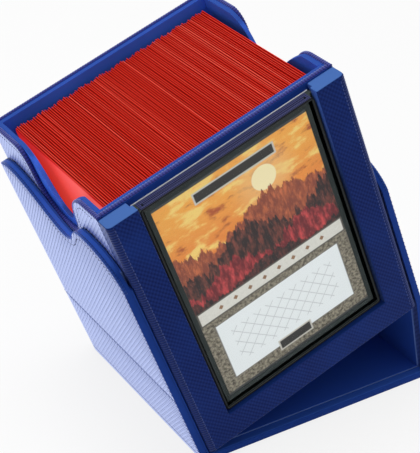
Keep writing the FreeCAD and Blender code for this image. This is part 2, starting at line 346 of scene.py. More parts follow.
def turn_group():
    """Which way a face turns along the leaned axes, as soft masks."""
    group, _, out = new_group("Face turn", {}, ("Side", "Front", "Rear", "Top"))
    values = {"Vector": add(group, "NewGeometry").outputs["Normal"], "Rotation": (0, LEAN, 0)}
    turned = add(group, "Mapping", values, vector_type="VECTOR")
    across, back, up = add(group, "SeparateXYZ", {0: turned.outputs[0]}).outputs
    start, full = 0.72, 0.9
    masks = ((calc(group, "ABSOLUTE", across), start, full), (back, -start, -full), (back, start, full),
             (up, 0.6, 0.85))
    for i, mask in enumerate(masks):
        group.links.new(ease(group, *mask), out.inputs[i])
    return group


def leatherette_group(place, turn):
    """Ribbed leatherette: 45 degree ribs on sides and rear, crossed ribs on a ribbed front, grain elsewhere.

    Height is the relief, Ridge the ribs' tops, Ribbed the share of ribbed surface, Tone a slow change."""
    inputs = {"Pitch": 1.36, "Front pitch": 1.26, "Front ribs": 0.0}
    group, into, out = new_group("Ribbed leatherette", inputs, ("Height", "Ridge", "Ribbed", "Tone"))

    def num(operation, *values):
        return calc(group, operation, *values)

    def ribs(along, pitch):
        wave = num("SINE", num("MULTIPLY", num("DIVIDE", along, pitch), 2 * math.pi))
        return num("MULTIPLY_ADD", wave, 0.5, 0.5)

    def slanted(a, b):
        return num("MULTIPLY", num("ADD", a, b), math.sqrt(0.5))

    across, back, up = use(group, place)
    face = use(group, turn)
    pitch, front_pitch, front_ribs = (into.outputs[name] for name in inputs)
    side_rib = ribs(slanted(back, up), pitch)
    rear_rib = ribs(slanted(across, up), pitch)
    climb = num("MULTIPLY", up, FRONT_RISE[2])
    falling = ribs(num("MULTIPLY_ADD", across, FRONT_RISE[0], climb), front_pitch)
    rising = ribs(num("MULTIPLY_ADD", across, -FRONT_RISE[0], climb), front_pitch)
    front_rib = num("MULTIPLY_ADD", rising, 0.45, num("MULTIPLY", falling, 0.55))
    front = num("MULTIPLY", face["Front"], front_ribs)
    ridge = num("MULTIPLY", side_rib, face["Side"])
    ridge = num("MULTIPLY_ADD", rear_rib, face["Rear"], ridge)
    ridge = num("MULTIPLY_ADD", front_rib, front, ridge)
    ribbed = num("MAXIMUM", num("MAXIMUM", face["Side"], face["Rear"]), front)
    grain = noise(group, here(group), 2600.0)
    results = {"Height": num("MULTIPLY_ADD", grain, 0.14, ridge), "Ridge": ridge, "Ribbed": ribbed,
               "Tone": noise(group, here(group), 55.0, 3.0)}
    for name, value in results.items():
        group.links.new(value, out.inputs[name])
    return group


def shared_groups():
    """The shader groups that several materials use, built once."""
    names = {"place": "Leaned place", "turn": "Face turn", "leatherette": "Ribbed leatherette"}
    if names["place"] not in bpy.data.node_groups:
        leatherette_group(place_group(), turn_group())
    return {key: bpy.data.node_groups[name] for key, name in names.items()}


def new_material(name):
    """A material with a Principled shader, as (material, tree, shader)."""
    material = bpy.data.materials.new(name)
    material.use_nodes = True
    tree = material.node_tree
    return material, tree, tree.nodes["Principled BSDF"]


def relief(tree, shader, height, strength, distance):
    """Bump the shader's normal by a height in 0 to 1, over a distance in metres."""
    bump = add(tree, "Bump", {"Height": height, "Strength": strength, "Distance": distance})
    tree.links.new(bump.outputs[0], shader.inputs["Normal"])


def setting(tree, shader, **values):
    """Link or set a shader's own sockets, named with spaces as underscores."""
    for name, value in values.items():
        put(tree, shader.inputs[name.replace("_", " ")], value)


def shade(rgb, factor):
    """A colour made lighter or darker."""
    return tuple(min(1.0, c * factor) for c in rgb)


def mix_surface(tree, share, first, second):
    """Make the material's surface a mix of two shaders."""
    mixed = add(tree, "MixShader", {0: share, 1: first.outputs[0], 2: second.outputs[0]})
    tree.links.new(mixed.outputs[0], tree.nodes["Material Output"].inputs["Surface"])


def pale_gloss(tree, shader, rgb, amount):
    """Mix a pale gloss over the shader where the surface is seen flat.

    Its share is the fourth power of one minus the cosine of the view, times an amount, and 0.95 at most."""
    facing = add(tree, "LayerWeight", {"Blend": 0.5}).outputs["Facing"]
    share = calc(tree, "MULTIPLY", calc(tree, "POWER", facing, 4.0), amount)
    gloss = add(tree, "BsdfAnisotropic", {"Color": (*rgb, 1.0), "Roughness": 0.45})
    mix_surface(tree, calc(tree, "MINIMUM", share, 0.95), shader, gloss)


def leatherette(name, groups, front_ribs, top, gloss, node=None):
    """Deep blue ribbed leatherette with smooth turned edges and, scaled by gloss, a sheen when seen flat.

    Edges that face up take the top colour, a painted light. On a named node, the display front, they take it
    only near its crest, its other smooth faces are darkened as painted shade, and the walls of its slot are
    smooth, in a lighter colour that is painted light and darkens lower down as painted shade."""
    looks = bpy.context.scene.deck_box_colours
    sizes = bpy.context.scene.deck_box_sizes
    material, tree, shader = new_material(name)
    values = {"Pitch": sizes.rib_pitch, "Front pitch": sizes.front_pitch, "Front ribs": front_ribs}
    weave = use(tree, groups["leatherette"], values)
    # Darker grooves are painted shade; on the ribbed front the ridges are also lightened, a painted highlight
    ribs = blend(tree, weave["Ridge"], looks.groove, shade(looks.ridge, 1.12 if front_ribs else 1.0))
    ribs = blend(tree, ease(tree, weave["Tone"], 0.4, 0.8), ribs, blend(tree, 0.3, ribs, looks.edge))
    smooth = blend(tree, weave["Tone"], shade(looks.edge, 0.8), shade(looks.edge, 1.15))
    face = use(tree, groups["turn"])
    # Faces that turn up take the top colour: painted light
    upward = face["Top"]
    if node is not None:
        low, high = (corner / MM for corner in span(node))
        crest, middle, rim = high[2], (low[0] + high[0]) / 2, (high[0] - low[0]) / 2
        at = use(tree, groups["place"])
        upward = calc(tree, "MULTIPLY", upward, ease(tree, at["Up"], crest - 4.0, crest - 2.0))
        aside = calc(tree, "ABSOLUTE", calc(tree, "SUBTRACT", at["Across"], middle))
        slot_wall = calc(tree, "MULTIPLY", face["Side"], ease(tree, aside, rim - 3.0, rim - 4.0))
        # The slot's walls: a lighter colour, painted light, darkening lower down as painted shade
        lit = ease(tree, at["Up"], crest - 45.0, crest - 5.0)
        ribs = blend(tree, slot_wall, ribs, blend(tree, lit, shade(looks.slot, 0.3), looks.slot))
        # The display front's other smooth faces are darkened: painted shade
        smooth = shade(looks.edge, 0.5)
    smooth = blend(tree, upward, smooth, top)
    setting(tree, shader, Base_Color=blend(tree, weave["Ribbed"], smooth, ribs), Specular_IOR_Level=0.02,
            Roughness=calc(tree, "MULTIPLY_ADD", weave["Ridge"], -0.12, 0.5))
    relief(tree, shader, weave["Height"], 0.2 if front_ribs else 0.35, 0.12 * MM)
    amount = calc(tree, "MULTIPLY_ADD", weave["Ribbed"], 1.55 * gloss, 0.25 * gloss)
    amount = calc(tree, "MULTIPLY_ADD", weave["Ridge"], 0.35 * gloss, amount)
    pale_gloss(tree, shader, looks.sheen, amount)
    return material


def ridged_material(name, low, high, gloss):
    """A finish between two colours by the piece's own ridge attribute, with a pale gloss on the ridges."""
    looks = bpy.context.scene.deck_box_colours
    material, tree, shader = new_material(name)
    # The low colour, in the folds and grooves, is painted shade
    ridge = attribute(tree, "ridge")
    setting(tree, shader, Base_Color=blend(tree, ridge, low, high), Specular_IOR_Level=0.1,
            Roughness=calc(tree, "MULTIPLY_ADD", ridge, -0.15, 0.55))
    pale_gloss(tree, shader, looks.sheen, calc(tree, "MULTIPLY_ADD", ridge, gloss, 0.2))
    return material


def lining_material(name, groups, rgb, top, node=None):
    """Smooth royal blue lining with a fine nap, and a painted highlight on its front edge at a named node's
    front end.

    Faces that turn up are mostly of the top colour: painted light where it is lighter, painted shade where
    darker."""
    looks = bpy.context.scene.deck_box_colours
    material, tree, shader = new_material(name)
    nap = noise(tree, here(tree), 3200.0, 3.0)
    cloud = noise(tree, here(tree), 40.0, 3.0)
    base = blend(tree, cloud, shade(rgb, 0.72), shade(rgb, 1.25))
    face = use(tree, groups["turn"])
    base = blend(tree, calc(tree, "MULTIPLY", face["Top"], 0.8), base, top)
    if node is not None:
        front = span(node)[0][1] / MM
        near = ease(tree, use(tree, groups["place"])["Back"], front + 1.0, front + 0.5)
        # Painted highlight on the front faces near the front end
        base = blend(tree, calc(tree, "MULTIPLY", face["Front"], near), base, looks.lining_edge_highlight)
    setting(tree, shader, Base_Color=base, Specular_IOR_Level=0.06,
            Roughness=calc(tree, "MULTIPLY_ADD", nap, 0.2, 0.45))
    relief(tree, shader, nap, 0.25, 0.05 * MM)
    return material


def plain_material(name, rgb, rough, metallic=0.0, spread=0.15, gloss=0.5, grain=0.12):
    """A plain finish with a little noise in its colour, gloss and relief."""
    material, tree, shader = new_material(name)
    speck = noise(tree, here(tree), 900.0, 3.0)
    tint = blend(tree, speck, shade(rgb, 1 - spread), shade(rgb, 1 + spread))
    setting(tree, shader, Base_Color=tint, Metallic=metallic, Specular_IOR_Level=gloss,
            Roughness=calc(tree, "MULTIPLY_ADD", speck, 0.12, rough - 0.06))
    relief(tree, shader, speck, grain, 0.03 * MM)
    return material


def window_material():
    """Clear acrylic that lets light through to the card behind it."""
    material, tree, shader = new_material("window_acrylic")
    setting(tree, shader, Base_Color=(0.98, 0.99, 0.99, 1.0), Transmission_Weight=1.0, IOR=1.03,
            Roughness=0.0)
    clear = add(tree, "BsdfTransparent", {"Color": (0.96, 0.97, 0.97, 1.0)})
    mix_surface(tree, add(tree, "LightPath").outputs["Is Shadow Ray"], shader, clear)
    return material


def card_material(groups):
    """A printed card: dark border, evening hills under a low sun, a plain banner, and a pale panel on stone.

    Its plates are bare, and its back is a red lattice. Places are in millimetres from its foot's middle."""
    low, high = span("display_card")
    material, tree, shader = new_material("card_print")

    def num(operation, *values):
        return calc(tree, operation, *values)

    def plane(first, second):
        return add(tree, "CombineXYZ", {0: first, 1: second}).outputs[0]

    at = use(tree, groups["place"])
    x = num("SUBTRACT", at["Across"], (low[0] + high[0]) / 2 / MM)
    z = num("SUBTRACT", at["Up"], low[2] / MM)
    fine = noise(tree, plane(x, z), 0.9, 4.0, 0.6)

    def inside(half, foot, head):
        soft = 0.2
        sides = ease(tree, num("ABSOLUTE", x), half + soft, half - soft)
        above, below = ease(tree, z, foot - soft, foot + soft), ease(tree, z, head + soft, head - soft)
        return num("MULTIPLY", sides, num("MULTIPLY", above, below))

    def hatch(operation, pitch=5.0):
        turns = num("DIVIDE", num(operation, x, z), pitch)
        return num("MULTIPLY", num("PINGPONG", turns, 0.5), pitch)

    def picture():
        cloud = noise(tree, plane(num("MULTIPLY", x, 0.45), z), 0.16, 5.0, 0.6)
        hanging = noise(tree, plane(x, num("MULTIPLY", z, 0.3)), 0.5, 6.0, 0.7)
        streak = ease(tree, hanging, 0.42, 0.70)
        dx, dz = num("SUBTRACT", x, 9.0), num("SUBTRACT", z, 73.0)
        far = num("SQRT", num("MULTIPLY_ADD", dx, dx, num("MULTIPLY", dz, dz)))
        art = blend(tree, ease(tree, z, 46.0, 84.0), (0.80, 0.17, 0.03), (0.96, 0.42, 0.07))
        for mask, tint in ((ease(tree, cloud, 0.50, 0.62), (1.0, 0.68, 0.19)),
                           (ease(tree, cloud, 0.46, 0.34), (0.46, 0.09, 0.025)),
                           (num("MULTIPLY", ease(tree, far, 15.0, 5.0), 0.5), (0.95, 0.60, 0.25)),
                           (ease(tree, far, 4.9, 4.5), (1.0, 0.86, 0.50))):
            art = blend(tree, mask, art, tint)
        for base, swell, wide, start, rough, dark, lit in (
                (64.0, 4.0, 50.0, 0.4, 16.0, (0.24, 0.055, 0.03), (0.66, 0.17, 0.06)),
                (57.0, 4.0, 37.0, 2.2, 20.0, (0.020, 0.010, 0.010), (0.24, 0.06, 0.04)),
                (49.0, 3.0, 29.0, 4.1, 16.0, (0.14, 0.010, 0.016), (0.68, 0.075, 0.075)),
                (43.0, 2.0, 38.0, 1.2, 10.0, (0.012, 0.007, 0.007), (0.16, 0.035, 0.03))):
            wave = num("SINE", num("MULTIPLY_ADD", x, 2 * math.pi / wide, start))
            line = num("MULTIPLY_ADD", wave, swell, base)
            spires = noise(tree, plane(x, 9.0 * start), 0.35, 5.0, 0.65)
            line = num("MULTIPLY_ADD", num("SUBTRACT", spires, 0.5), rough, line)
            below = ease(tree, num("SUBTRACT", z, line), 0.25, -0.25)
            art = blend(tree, below, art, blend(tree, streak, dark, lit))
        return art

    lattice = num("MINIMUM", hatch("ADD"), hatch("SUBTRACT"))
    lines = num("MULTIPLY", ease(tree, lattice, 0.3, 0.1), inside(21.0, 11.6, 26.6))
    across = num("ABSOLUTE", num("SUBTRACT", num("FRACT", num("DIVIDE", x, 6.0)), 0.5))
    bead = num("ADD", num("MULTIPLY", across, 6.0), num("ABSOLUTE", num("SUBTRACT", z, 37.3)))
    layers = [
        (inside(30.3, 37.0, 85.8), picture()),
        (inside(30.3, 34.2, 40.4), (0.10, 0.09, 0.075)),
        (inside(29.6, 34.8, 39.8), blend(tree, fine, (0.66, 0.64, 0.57), (0.88, 0.86, 0.80))),
        (num("MULTIPLY", ease(tree, bead, 1.1, 0.8), inside(25.6, 34.8, 39.8)), (0.30, 0.16, 0.08)),
        (inside(25.9, 6.6, 31.6), (0.20, 0.19, 0.17)),
        (inside(25.5, 7.0, 31.2), (0.90, 0.94, 0.95)),
        (num("MULTIPLY", lines, 0.4), (0.22, 0.23, 0.26)),
    ]
    for half, foot, head in ((16.0, 78.8, 83.4), (7.0, 4.6, 9.2)):
        layers += [(inside(half, foot, head), (0.62, 0.60, 0.54)),
                   (inside(half - 0.6, foot + 0.6, head - 0.6), (0.022, 0.020, 0.018))]
    layers.append((num("SUBTRACT", 1.0, inside(30.3, 2.2, 85.8)), (0.045, 0.052, 0.055)))
    field = blend(tree, ease(tree, lattice, 0.45, 0.25), (0.12, 0.016, 0.012), (0.42, 0.16, 0.05))
    reverse = blend(tree, inside(28.6, 3.8, 84.2), (0.035, 0.022, 0.018), field)
    layers.append((use(tree, groups["turn"])["Rear"], reverse))
    face = blend(tree, ease(tree, fine, 0.3, 0.7), (0.055, 0.045, 0.03), (0.36, 0.32, 0.24))
    for mask, tint in layers:
        face = blend(tree, mask, face, tint)
    setting(tree, shader, Base_Color=face, Roughness=calc(tree, "MULTIPLY_ADD", fine, 0.1, 0.42))
    return material


def sleeve_material():
    """Glossy red film, its lips lightened as painted highlight, each sleeve a little different, the first with
    a painted glow.
    """
    looks = bpy.context.scene.deck_box_colours
    material, tree, shader = new_material("sleeve_film")
    lip, tone, glow = (attribute(tree, name) for name in ("lip", "tone", "glow"))
    body = blend(tree, tone, shade(looks.sleeve, 0.94), shade(looks.sleeve, 1.06))
    # Painted highlights on the lips, brighter on a few sleeves at random
    bright = blend(tree, calc(tree, "POWER", tone, 5.0), looks.lip, (1.0, 0.11, 0.07))
    # Painted glow: the first sleeve's face is given an emission
    lit = blend(tree, ease(tree, glow, 0.7, 1.0), (0.80, 0.018, 0.007), looks.glow)
    smear = noise(tree, here(tree), 300.0)
    setting(tree, shader, Base_Color=blend(tree, calc(tree, "POWER", lip, 6.0), body, bright),
            Roughness=calc(tree, "MULTIPLY_ADD", smear, 0.1, 0.26), Specular_IOR_Level=0.03,
            Emission_Color=blend(tree, glow, (0.0, 0.0, 0.0), lit), Emission_Strength=1.0)
    pale_gloss(tree, shader, (1.0, 0.42, 0.40), calc(tree, "MULTIPLY", glow, 0.45))
    return material


def round_edges(piece, width):
    """Round a CAD node's sharp edges with live modifiers, on welded triangles merged to flat faces."""
    new = piece.modifiers.new
    give(new("weld", "WELD"), merge_threshold=0.002 * MM)
    give(new("flat", "DECIMATE"), decimate_type="DISSOLVE", angle_limit=math.radians(0.5))
    give(new("round", "BEVEL"), width=width, segments=2, limit_method="ANGLE", angle_limit=math.radians(40))
    give(new("normals", "WEIGHTED_NORMAL"), keep_sharp=False)


def dress(material, width, *nodes):
    """Give CAD nodes a material, and rounded edges where the width isn't 0."""
    for node in nodes:
        piece = frame["nodes"][node]
        piece.data.materials.clear()
        piece.data.materials.append(material)
        if width > 0:
            round_edges(piece, width)


def worn(node):
    """The material that a CAD node wears."""
    return frame["nodes"][node].data.materials[0]


class DECKBOX_OT_case(Operator):
    """Wrap the case's boards in ribbed leatherette with smooth turned edges"""

    bl_idname = "deckbox.case"
    bl_label = "Wrap the case"

    def execute(self, context):
        looks = context.scene.deck_box_colours
        wrap = leatherette("case_leatherette", shared_groups(), 0.0, looks.rim, 1.0)
        dress(wrap, context.scene.deck_box_sizes.edge_round, *CASE_BOARDS)
        return {"FINISHED"}


class DECKBOX_OT_drawer(Operator):
    """Wrap the drawer's boards and its display front"""

    bl_idname = "deckbox.drawer"
    bl_label = "Wrap the drawer"

    def execute(self, context):
        sizes = context.scene.deck_box_sizes
        looks = context.scene.deck_box_colours
        wrap = leatherette("drawer_leatherette", shared_groups(), 0.0, looks.rim, 2.1)
        dress(wrap, sizes.edge_round, *DRAWER_BOARDS)
        front = leatherette("front_leatherette", shared_groups(), 1.0, looks.stile, 0.3, "display_bezel")
        dress(front, sizes.edge_round, "display_bezel")
        return {"FINISHED"}


class DECKBOX_OT_linings(Operator):
    """Line the case and the drawer"""

    bl_idname = "deckbox.linings"
    bl_label = "Line the inside"

    def execute(self, context):
        sizes = context.scene.deck_box_sizes
        looks = context.scene.deck_box_colours
        groups = shared_groups()
        floor = "case_floor_lining"
        # The walls' linings are darkened on top, painted shade; the case's floor, which faces up, is lightened,
        # painted light
        shaded_top, pale = shade(looks.rim, 0.5), shade(looks.lining, 1.4)
        wall = lining_material("case_lining_nap", groups, looks.lining, shaded_top, floor)
        ground = lining_material("case_floor_nap", groups, looks.lining, pale, floor)
        # The drawer's lighter lining colour is painted light
        padded = lining_material("drawer_lining_nap", groups, looks.pad, shaded_top)
        dress(wall, sizes.lining_round, *CASE_LININGS)
        dress(ground, sizes.lining_round, floor)
        dress(padded, sizes.pad_round, *DRAWER_LININGS)
        return {"FINISHED"}


class DECKBOX_OT_hardware(Operator):
    """Finish the runners and the hidden magnets"""

    bl_idname = "deckbox.hardware"
    bl_label = "Finish the hardware"

    def execute(self, context):
        looks = context.scene.deck_box_colours
        runner = plain_material("runner_matte", looks.runner, 0.6)
        plating = plain_material("magnet_plating", looks.metal, 0.25, 1.0)
        dress(runner, 0.4 * MM, "deck_runner_left", "deck_runner_right")
        dress(plating, 0.0, "case_magnets", "drawer_magnets")
        return {"FINISHED"}


class DECKBOX_OT_showcase(Operator):
    """Finish the display case: grey back, black frame, clear window, printed card"""

    bl_idname = "deckbox.showcase"
    bl_label = "Finish the display case"

    def execute(self, context):
        looks = context.scene.deck_box_colours
        black = plain_material("showcase_black", looks.black, 0.3, gloss=0.15, grain=0.0)
        grey = plain_material("window_mask", looks.mask, 0.5, gloss=0.1)
        # A lighter grey for the frame's fine line: painted highlight
        line = plain_material("window_highlight_line", shade(looks.mask, 1.6), 0.4, gloss=0.1)
        slate = ridged_material("grip_slate", looks.grip_low, looks.grip, 0.2)
        edge_glint = plain_material("glint_edge", looks.edge_glint, 0.3, spread=0.05)
        dress(grey, 0.2 * MM, "showcase_back")
        dress(window_material(), 0.0, "showcase_window")
        dress(card_material(shared_groups()), 0.0, "display_card")
        window_frame(black, grey, line)
        top_grip(context.scene.deck_box_sizes.grip_pitch, slate, edge_glint)
        return {"FINISHED"}


def rounded_loop(half, foot, head, radius, steps=4):
    """Points round an upright rectangle with rounded corners, as offsets across and places up."""
    turn = np.linspace(0.0, np.pi / 2, steps)
    corners = ((1, head - radius, 0.0), (-1, head - radius, np.pi / 2),
               (-1, foot + radius, np.pi), (1, foot + radius, 1.5 * np.pi))
    return np.concatenate([np.stack([side * (half - radius) + radius * np.cos(start + turn),
                                     centre + radius * np.sin(start + turn)], 1)
                           for side, centre, start in corners])


def ring(name, low, high, profile, material):
    """A closed frame of the display case: a profile of (inset, depth) carried round an upright rectangle."""
    middle, half = (low[0] + high[0]) / 2, (high[0] - low[0]) / 2
    outer_radius, least_radius = 1.2 * MM, 0.15 * MM
    loops = []
    for inset, depth in profile:
        radius = max(outer_radius - inset, least_radius)
        flat = rounded_loop(half - inset, low[2] + inset, high[2] - inset, radius)
        loops.append(join(middle + flat[:, 0], depth, flat[:, 1]))
    grid = np.stack(loops)
    faces = strip_faces(len(profile), grid.shape[1], close_rows=True, close_columns=True)
    return make_piece(name, grid, faces, "showcase", material)


def window_frame(black, grey, line):
    """A moulded black frame on the window's face with a fine line of painted highlight, and a grey mask behind
    the window.

    The mask has a collar along the window's sides. Profiles are in millimetres from the face or the rear."""
    low, high = span("showcase_window")
    face, rear = low[1], high[1]
    collar = (face - rear) / MM + 0.2
    rings = (("showcase_frame", face, black, [(0.0, 0.0), (0.0, -0.25), (0.15, -0.35), (0.32, -0.28),
                                              (0.42, -0.10), (0.85, -0.10), (0.95, 0.0)]),
             ("showcase_highlight_line", face, line, [(0.46, -0.05), (0.50, -0.18), (0.58, -0.24), (0.66, -0.18),
                                            (0.70, -0.05)]),
             ("showcase_mask", rear, grey, [(0.05, collar), (0.15, collar), (0.15, 0.02), (3.4, 0.02),
                                            (3.4, 0.07), (0.05, 0.07)]))
    for name, level, material, profile in rings:
        ring(name, low, high, [(inset * MM, level + depth * MM) for inset, depth in profile], material)


def grip_strip(name, middle, half, pitch, front, rear, level, foot, body, material):
    """A strip of ribs across: their height is a rectified sine, rounded down at the front and the back."""
    across = np.linspace(-half, half, half * 8 + 1) * pitch
    soft = min(0.3 * MM, (rear - front) / 4)
    back = np.array([front, front, front + soft, rear - soft, rear, rear])
    crown = np.array([-1.0, 0.0, 1.0, 1.0, 0.0, -1.0])
    wave = np.abs(np.sin(np.pi * across / pitch))
    rib = wave * 0.3 * pitch + 0.04 * MM
    up = level + np.where(crown < 0, crown * foot, crown * rib[:, None])
    grid = join((middle + across)[:, None], back, up)
    tube(name, grid, body, material, ridge=wave)


def top_grip(pitch, slate, edge_glint):
    """Fine ribs along the display case's top, the card's own tab between them, and a near-white back edge, a
    painted highlight.
    """
    low, high = span("showcase_back")
    window_low, window_high = span("showcase_window")
    card_low, card_high = span("display_card")
    half = int((window_high[0] - window_low[0] - 0.4 * MM) / pitch / 2)
    middle = (low[0] + high[0]) / 2
    edge = (half - 1) * pitch
    room = window_high[1], card_high[1] + 0.2 * MM
    sunk = 0.05 * MM
    tab = high[2] - card_high[2] + 0.3 * MM
    strips = (("showcase_grip_front", 0.0, half, window_low[1] + 0.1 * MM, room[0], sunk, "showcase"),
              ("showcase_grip_back", 0.0, half, room[1], high[1] - 0.3 * MM, sunk, "showcase"),
              ("showcase_grip_left", -edge, 1, *room, sunk, "showcase"),
              ("showcase_grip_right", edge, 1, *room, sunk, "showcase"),
              ("card_tab", 0.0, half - 3, card_low[1], card_high[1], tab, "card"))
    for name, aside, ribs, front, rear, foot, body in strips:
        grip_strip(name, middle + aside, ribs, pitch, front, rear, high[2], foot, body, slate)
    # The back edge: a bead coloured near white, a painted highlight
    section = np.array([(-0.26, -0.3), (-0.26, 0.28), (-0.20, 0.34), (-0.06, 0.34), (0.0, 0.28), (0.0, -0.3)])
    section = section * MM + high[1:]
    ends = np.array([low[0] + 0.5 * MM, high[0] - 0.5 * MM])
    tube("showcase_glint", join(ends[:, None], *section.T), "showcase", edge_glint, smooth=False)


class DECKBOX_OT_deck(Operator):
    """Fill the drawer with sleeved cards"""

    bl_idname = "deckbox.deck"
    bl_label = "Fill the deck"

    def execute(self, context):
        sizes = context.scene.deck_box_sizes
        low, high = sleeve_places(sizes.sleeve_pitch)
        piece = sleeves(low, high, sizes.lip, sleeve_material())
        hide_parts("deck_cards")
        return {"FINISHED"}


def sleeve_places(pitch):
    """Place of each sleeve in the CAD deck: lowest and highest corner along the leaned axes."""
    points = leaned_points("deck_cards")
    index = np.floor((points[:, 0] - points[:, 0].min()) / pitch + 0.02).astype(int)
    count = index.max() + 1
    low = np.full((count, 3), np.inf)
    high = np.full((count, 3), -np.inf)
    np.minimum.at(low, index, points)
    np.maximum.at(high, index, points)
    return low, high


def sleeves(low, high, lip_width, material):
    """Sleeves as a profile carried along the depth.

    The profile goes up one face to a shoulder where the card ends, in to a narrow pinched lip, over it and
    down the other face. It has 6 points at 5 stations, and the lips sway sideways along their width.
    The tops differ by 0.35 of what the CAD plates do."""
    count, stations, around = len(low), 5, 6
    shape = (count, stations, around)
    seed = np.random.default_rng(7)
    t = np.linspace(0.0, 1.0, stations)
    left, right, floor = low[:, 0], high[:, 0], low[:, 2]
    crest = high[:, 2].max()
    top = crest - 0.35 * (crest - high[:, 2])
    shoulder = top - seed.uniform(0.8, 1.1, count) * MM
    middle = (left + right) / 2 + seed.uniform(-0.06, 0.06, count) * MM
    uneven = seed.uniform(0.0, 0.06, count) * MM
    half = lip_width / 2
    across = np.stack([left, left, middle - half, middle + half, right, right], 1)
    up = np.stack([floor, shoulder, top, top - uneven, shoulder, floor], 1)
    lift = np.array([0, 0, 1, 1, 0, 0.0])
    turns = t[None, :] * seed.uniform(0.8, 2.2, (count, 1)) + seed.uniform(0, 2, (count, 1))
    sway = 0.07 * MM * np.sin(np.pi * turns)[:, :, None] * lift[None, None, :]
    depth = low[:, 1, None] + (high - low)[:, 1, None] * t
    points = join(across[:, None, :] + sway, depth[:, :, None], up[:, None, :])
    body = strip_faces(stations, around, close_columns=True)
    front = np.array([[0, 5, 4, 1], [1, 4, 3, 2]])
    caps = np.concatenate([front, (front + (stations - 1) * around)[:, ::-1]])
    faces = copies(np.concatenate([body, caps]), count, stations * around)
    piece = make_piece("deck_sleeves", points, faces, "deck", material, smooth=False)
    tone = seed.uniform(0, 1, count)[:, None, None]
    first_face = (np.arange(count)[:, None, None] == 0) & (np.arange(around) < 2)
    # Painted glow on the first sleeve's face, stronger towards the front
    glow = first_face * (0.7 + 0.3 * (1 - t)[None, :, None])
    for name, value in (("lip", lift), ("tone", tone), ("glow", glow)):
        mark(piece, name, np.broadcast_to(value, shape))
    return piece


def rim_path(node, side, reach):
    """Line of a wall's outer rim from the back to the front: its outermost points within reach of its top."""
    points = leaned_points(node)
    edge = points[:, 0].min() if side < 0 else points[:, 0].max()
    outer = points[np.abs(points[:, 0] - edge) < 0.01 * MM]
    rim = outer[outer[:, 2] > outer[:, 2].max() - reach]
    rim = rim[np.argsort(-rim[:, 1])]
    keep = np.concatenate([[True], np.diff(rim[:, 1]) < -0.02 * MM])
    return rim[keep]


def distances(path):
    """Distance along a path at each of its points."""
    return np.concatenate([[0.0], np.cumsum(np.linalg.norm(np.diff(path, axis=0), axis=1))])


def points_at(path, s):
    """Points of a path at distances s along it."""
    known = distances(path)
    return np.stack([np.interp(s, known, path[:, k]) for k in range(3)], 1)


def even(path, step):
    """Even distances along a path, and its points there."""
    end = distances(path)[-1]
    s = np.linspace(0.0, end, int(end / step) + 1)
    return s, points_at(path, s)


def square_out(line, side, sign):
    """Unit directions square to a line and to a side: upwards for a sign of 1, downwards for -1."""
    along = np.gradient(line, axis=0)
    along /= np.linalg.norm(along, axis=1)[:, None]
    out = np.cross(along, side)
    return out * sign * np.sign(out[:, 2].mean())


def roll(name, path, side, width, height, pitch, body, material):
    """Ribbed leatherette rolled over a rim: half an ellipse carried along a path, with folds square to it.

    With s along the path, its height and half width are scaled by 1 - 0.22 * (1 - cos(2 pi s / pitch)) / 2.
    Its foot is sunk a little into the rim."""
    s, line = even(path, pitch / 4)
    side = np.asarray(side, float)
    out = square_out(line, side, 1)
    ridge = (1 + np.cos(2 * np.pi * s / pitch)) / 2
    scale = 1 - 0.22 * (1 - ridge)
    angle = np.linspace(0.0, np.pi, 7)
    beside = np.concatenate([[1.0], np.cos(angle), [-1.0]]) * width / 2
    above = np.concatenate([[-0.3], np.sin(angle), [-0.3]]) * height
    grid = (line[:, None] + (beside[None] * scale[:, None])[..., None] * side
            + (above[None] * scale[:, None])[..., None] * out[:, None])
    return tube(name, grid, body, material, ridge=ridge)


def edge_welt(name, node, floor, body, material):
    """A turned edge of the lining along a left wall's front end, from the end of its rim to the level floor.

    Its section is a strip with a rounded inner corner, set on the wall's inner face."""
    points = leaned_points(node)
    front = points[points[:, 1] < points[:, 1].min() + 0.1 * MM]
    inner, face, top = front[:, 0].max(), front[:, 1].min(), front[:, 2].max()
    section = np.array([(-0.2, 3.2), (-0.2, 0.0), (0.35, 0.0), (0.62, 0.12), (0.75, 0.4), (0.75, 3.2)]) * MM
    across, back = inner + section[:, 0], face + section[:, 1]
    level = (leaned_points(floor) @ AXES)[:, 2].max()
    foot = (level - across * ACROSS[2]) / UP[2]
    grid = join(across, back, np.stack([np.full_like(foot, top), foot]))
    return tube(name, grid, body, material, smooth=False)


def seam_cord(name, node, depth, body, material):
    """A flat cord that fills the level groove in a left wall's outer face, short of its rounded back corner.

    The groove's floor is found as the points that lie at its depth under the face."""
    points = leaned_points(node)
    outer = points[:, 0].min()
    floor = points[np.abs(points[:, 0] - outer - depth) < 0.02 * MM]
    low, high = floor.min(0), floor.max(0)
    edge = 0.12 * (high[2] - low[2])
    under, shoulder, crown = outer + depth + 0.1 * MM, outer + 0.14 * MM, outer + 0.06 * MM
    section = np.array([(under, low[2]), (shoulder, low[2] + edge), (crown, (low[2] + high[2]) / 2),
                        (shoulder, high[2] - edge), (under, high[2])])
    ends = np.array([low[1] + 0.2 * MM, high[1] - 0.2 * MM])
    grid = join(section[:, 0], ends[:, None], section[:, 1])
    return tube(name, grid, body, material, smooth=False)


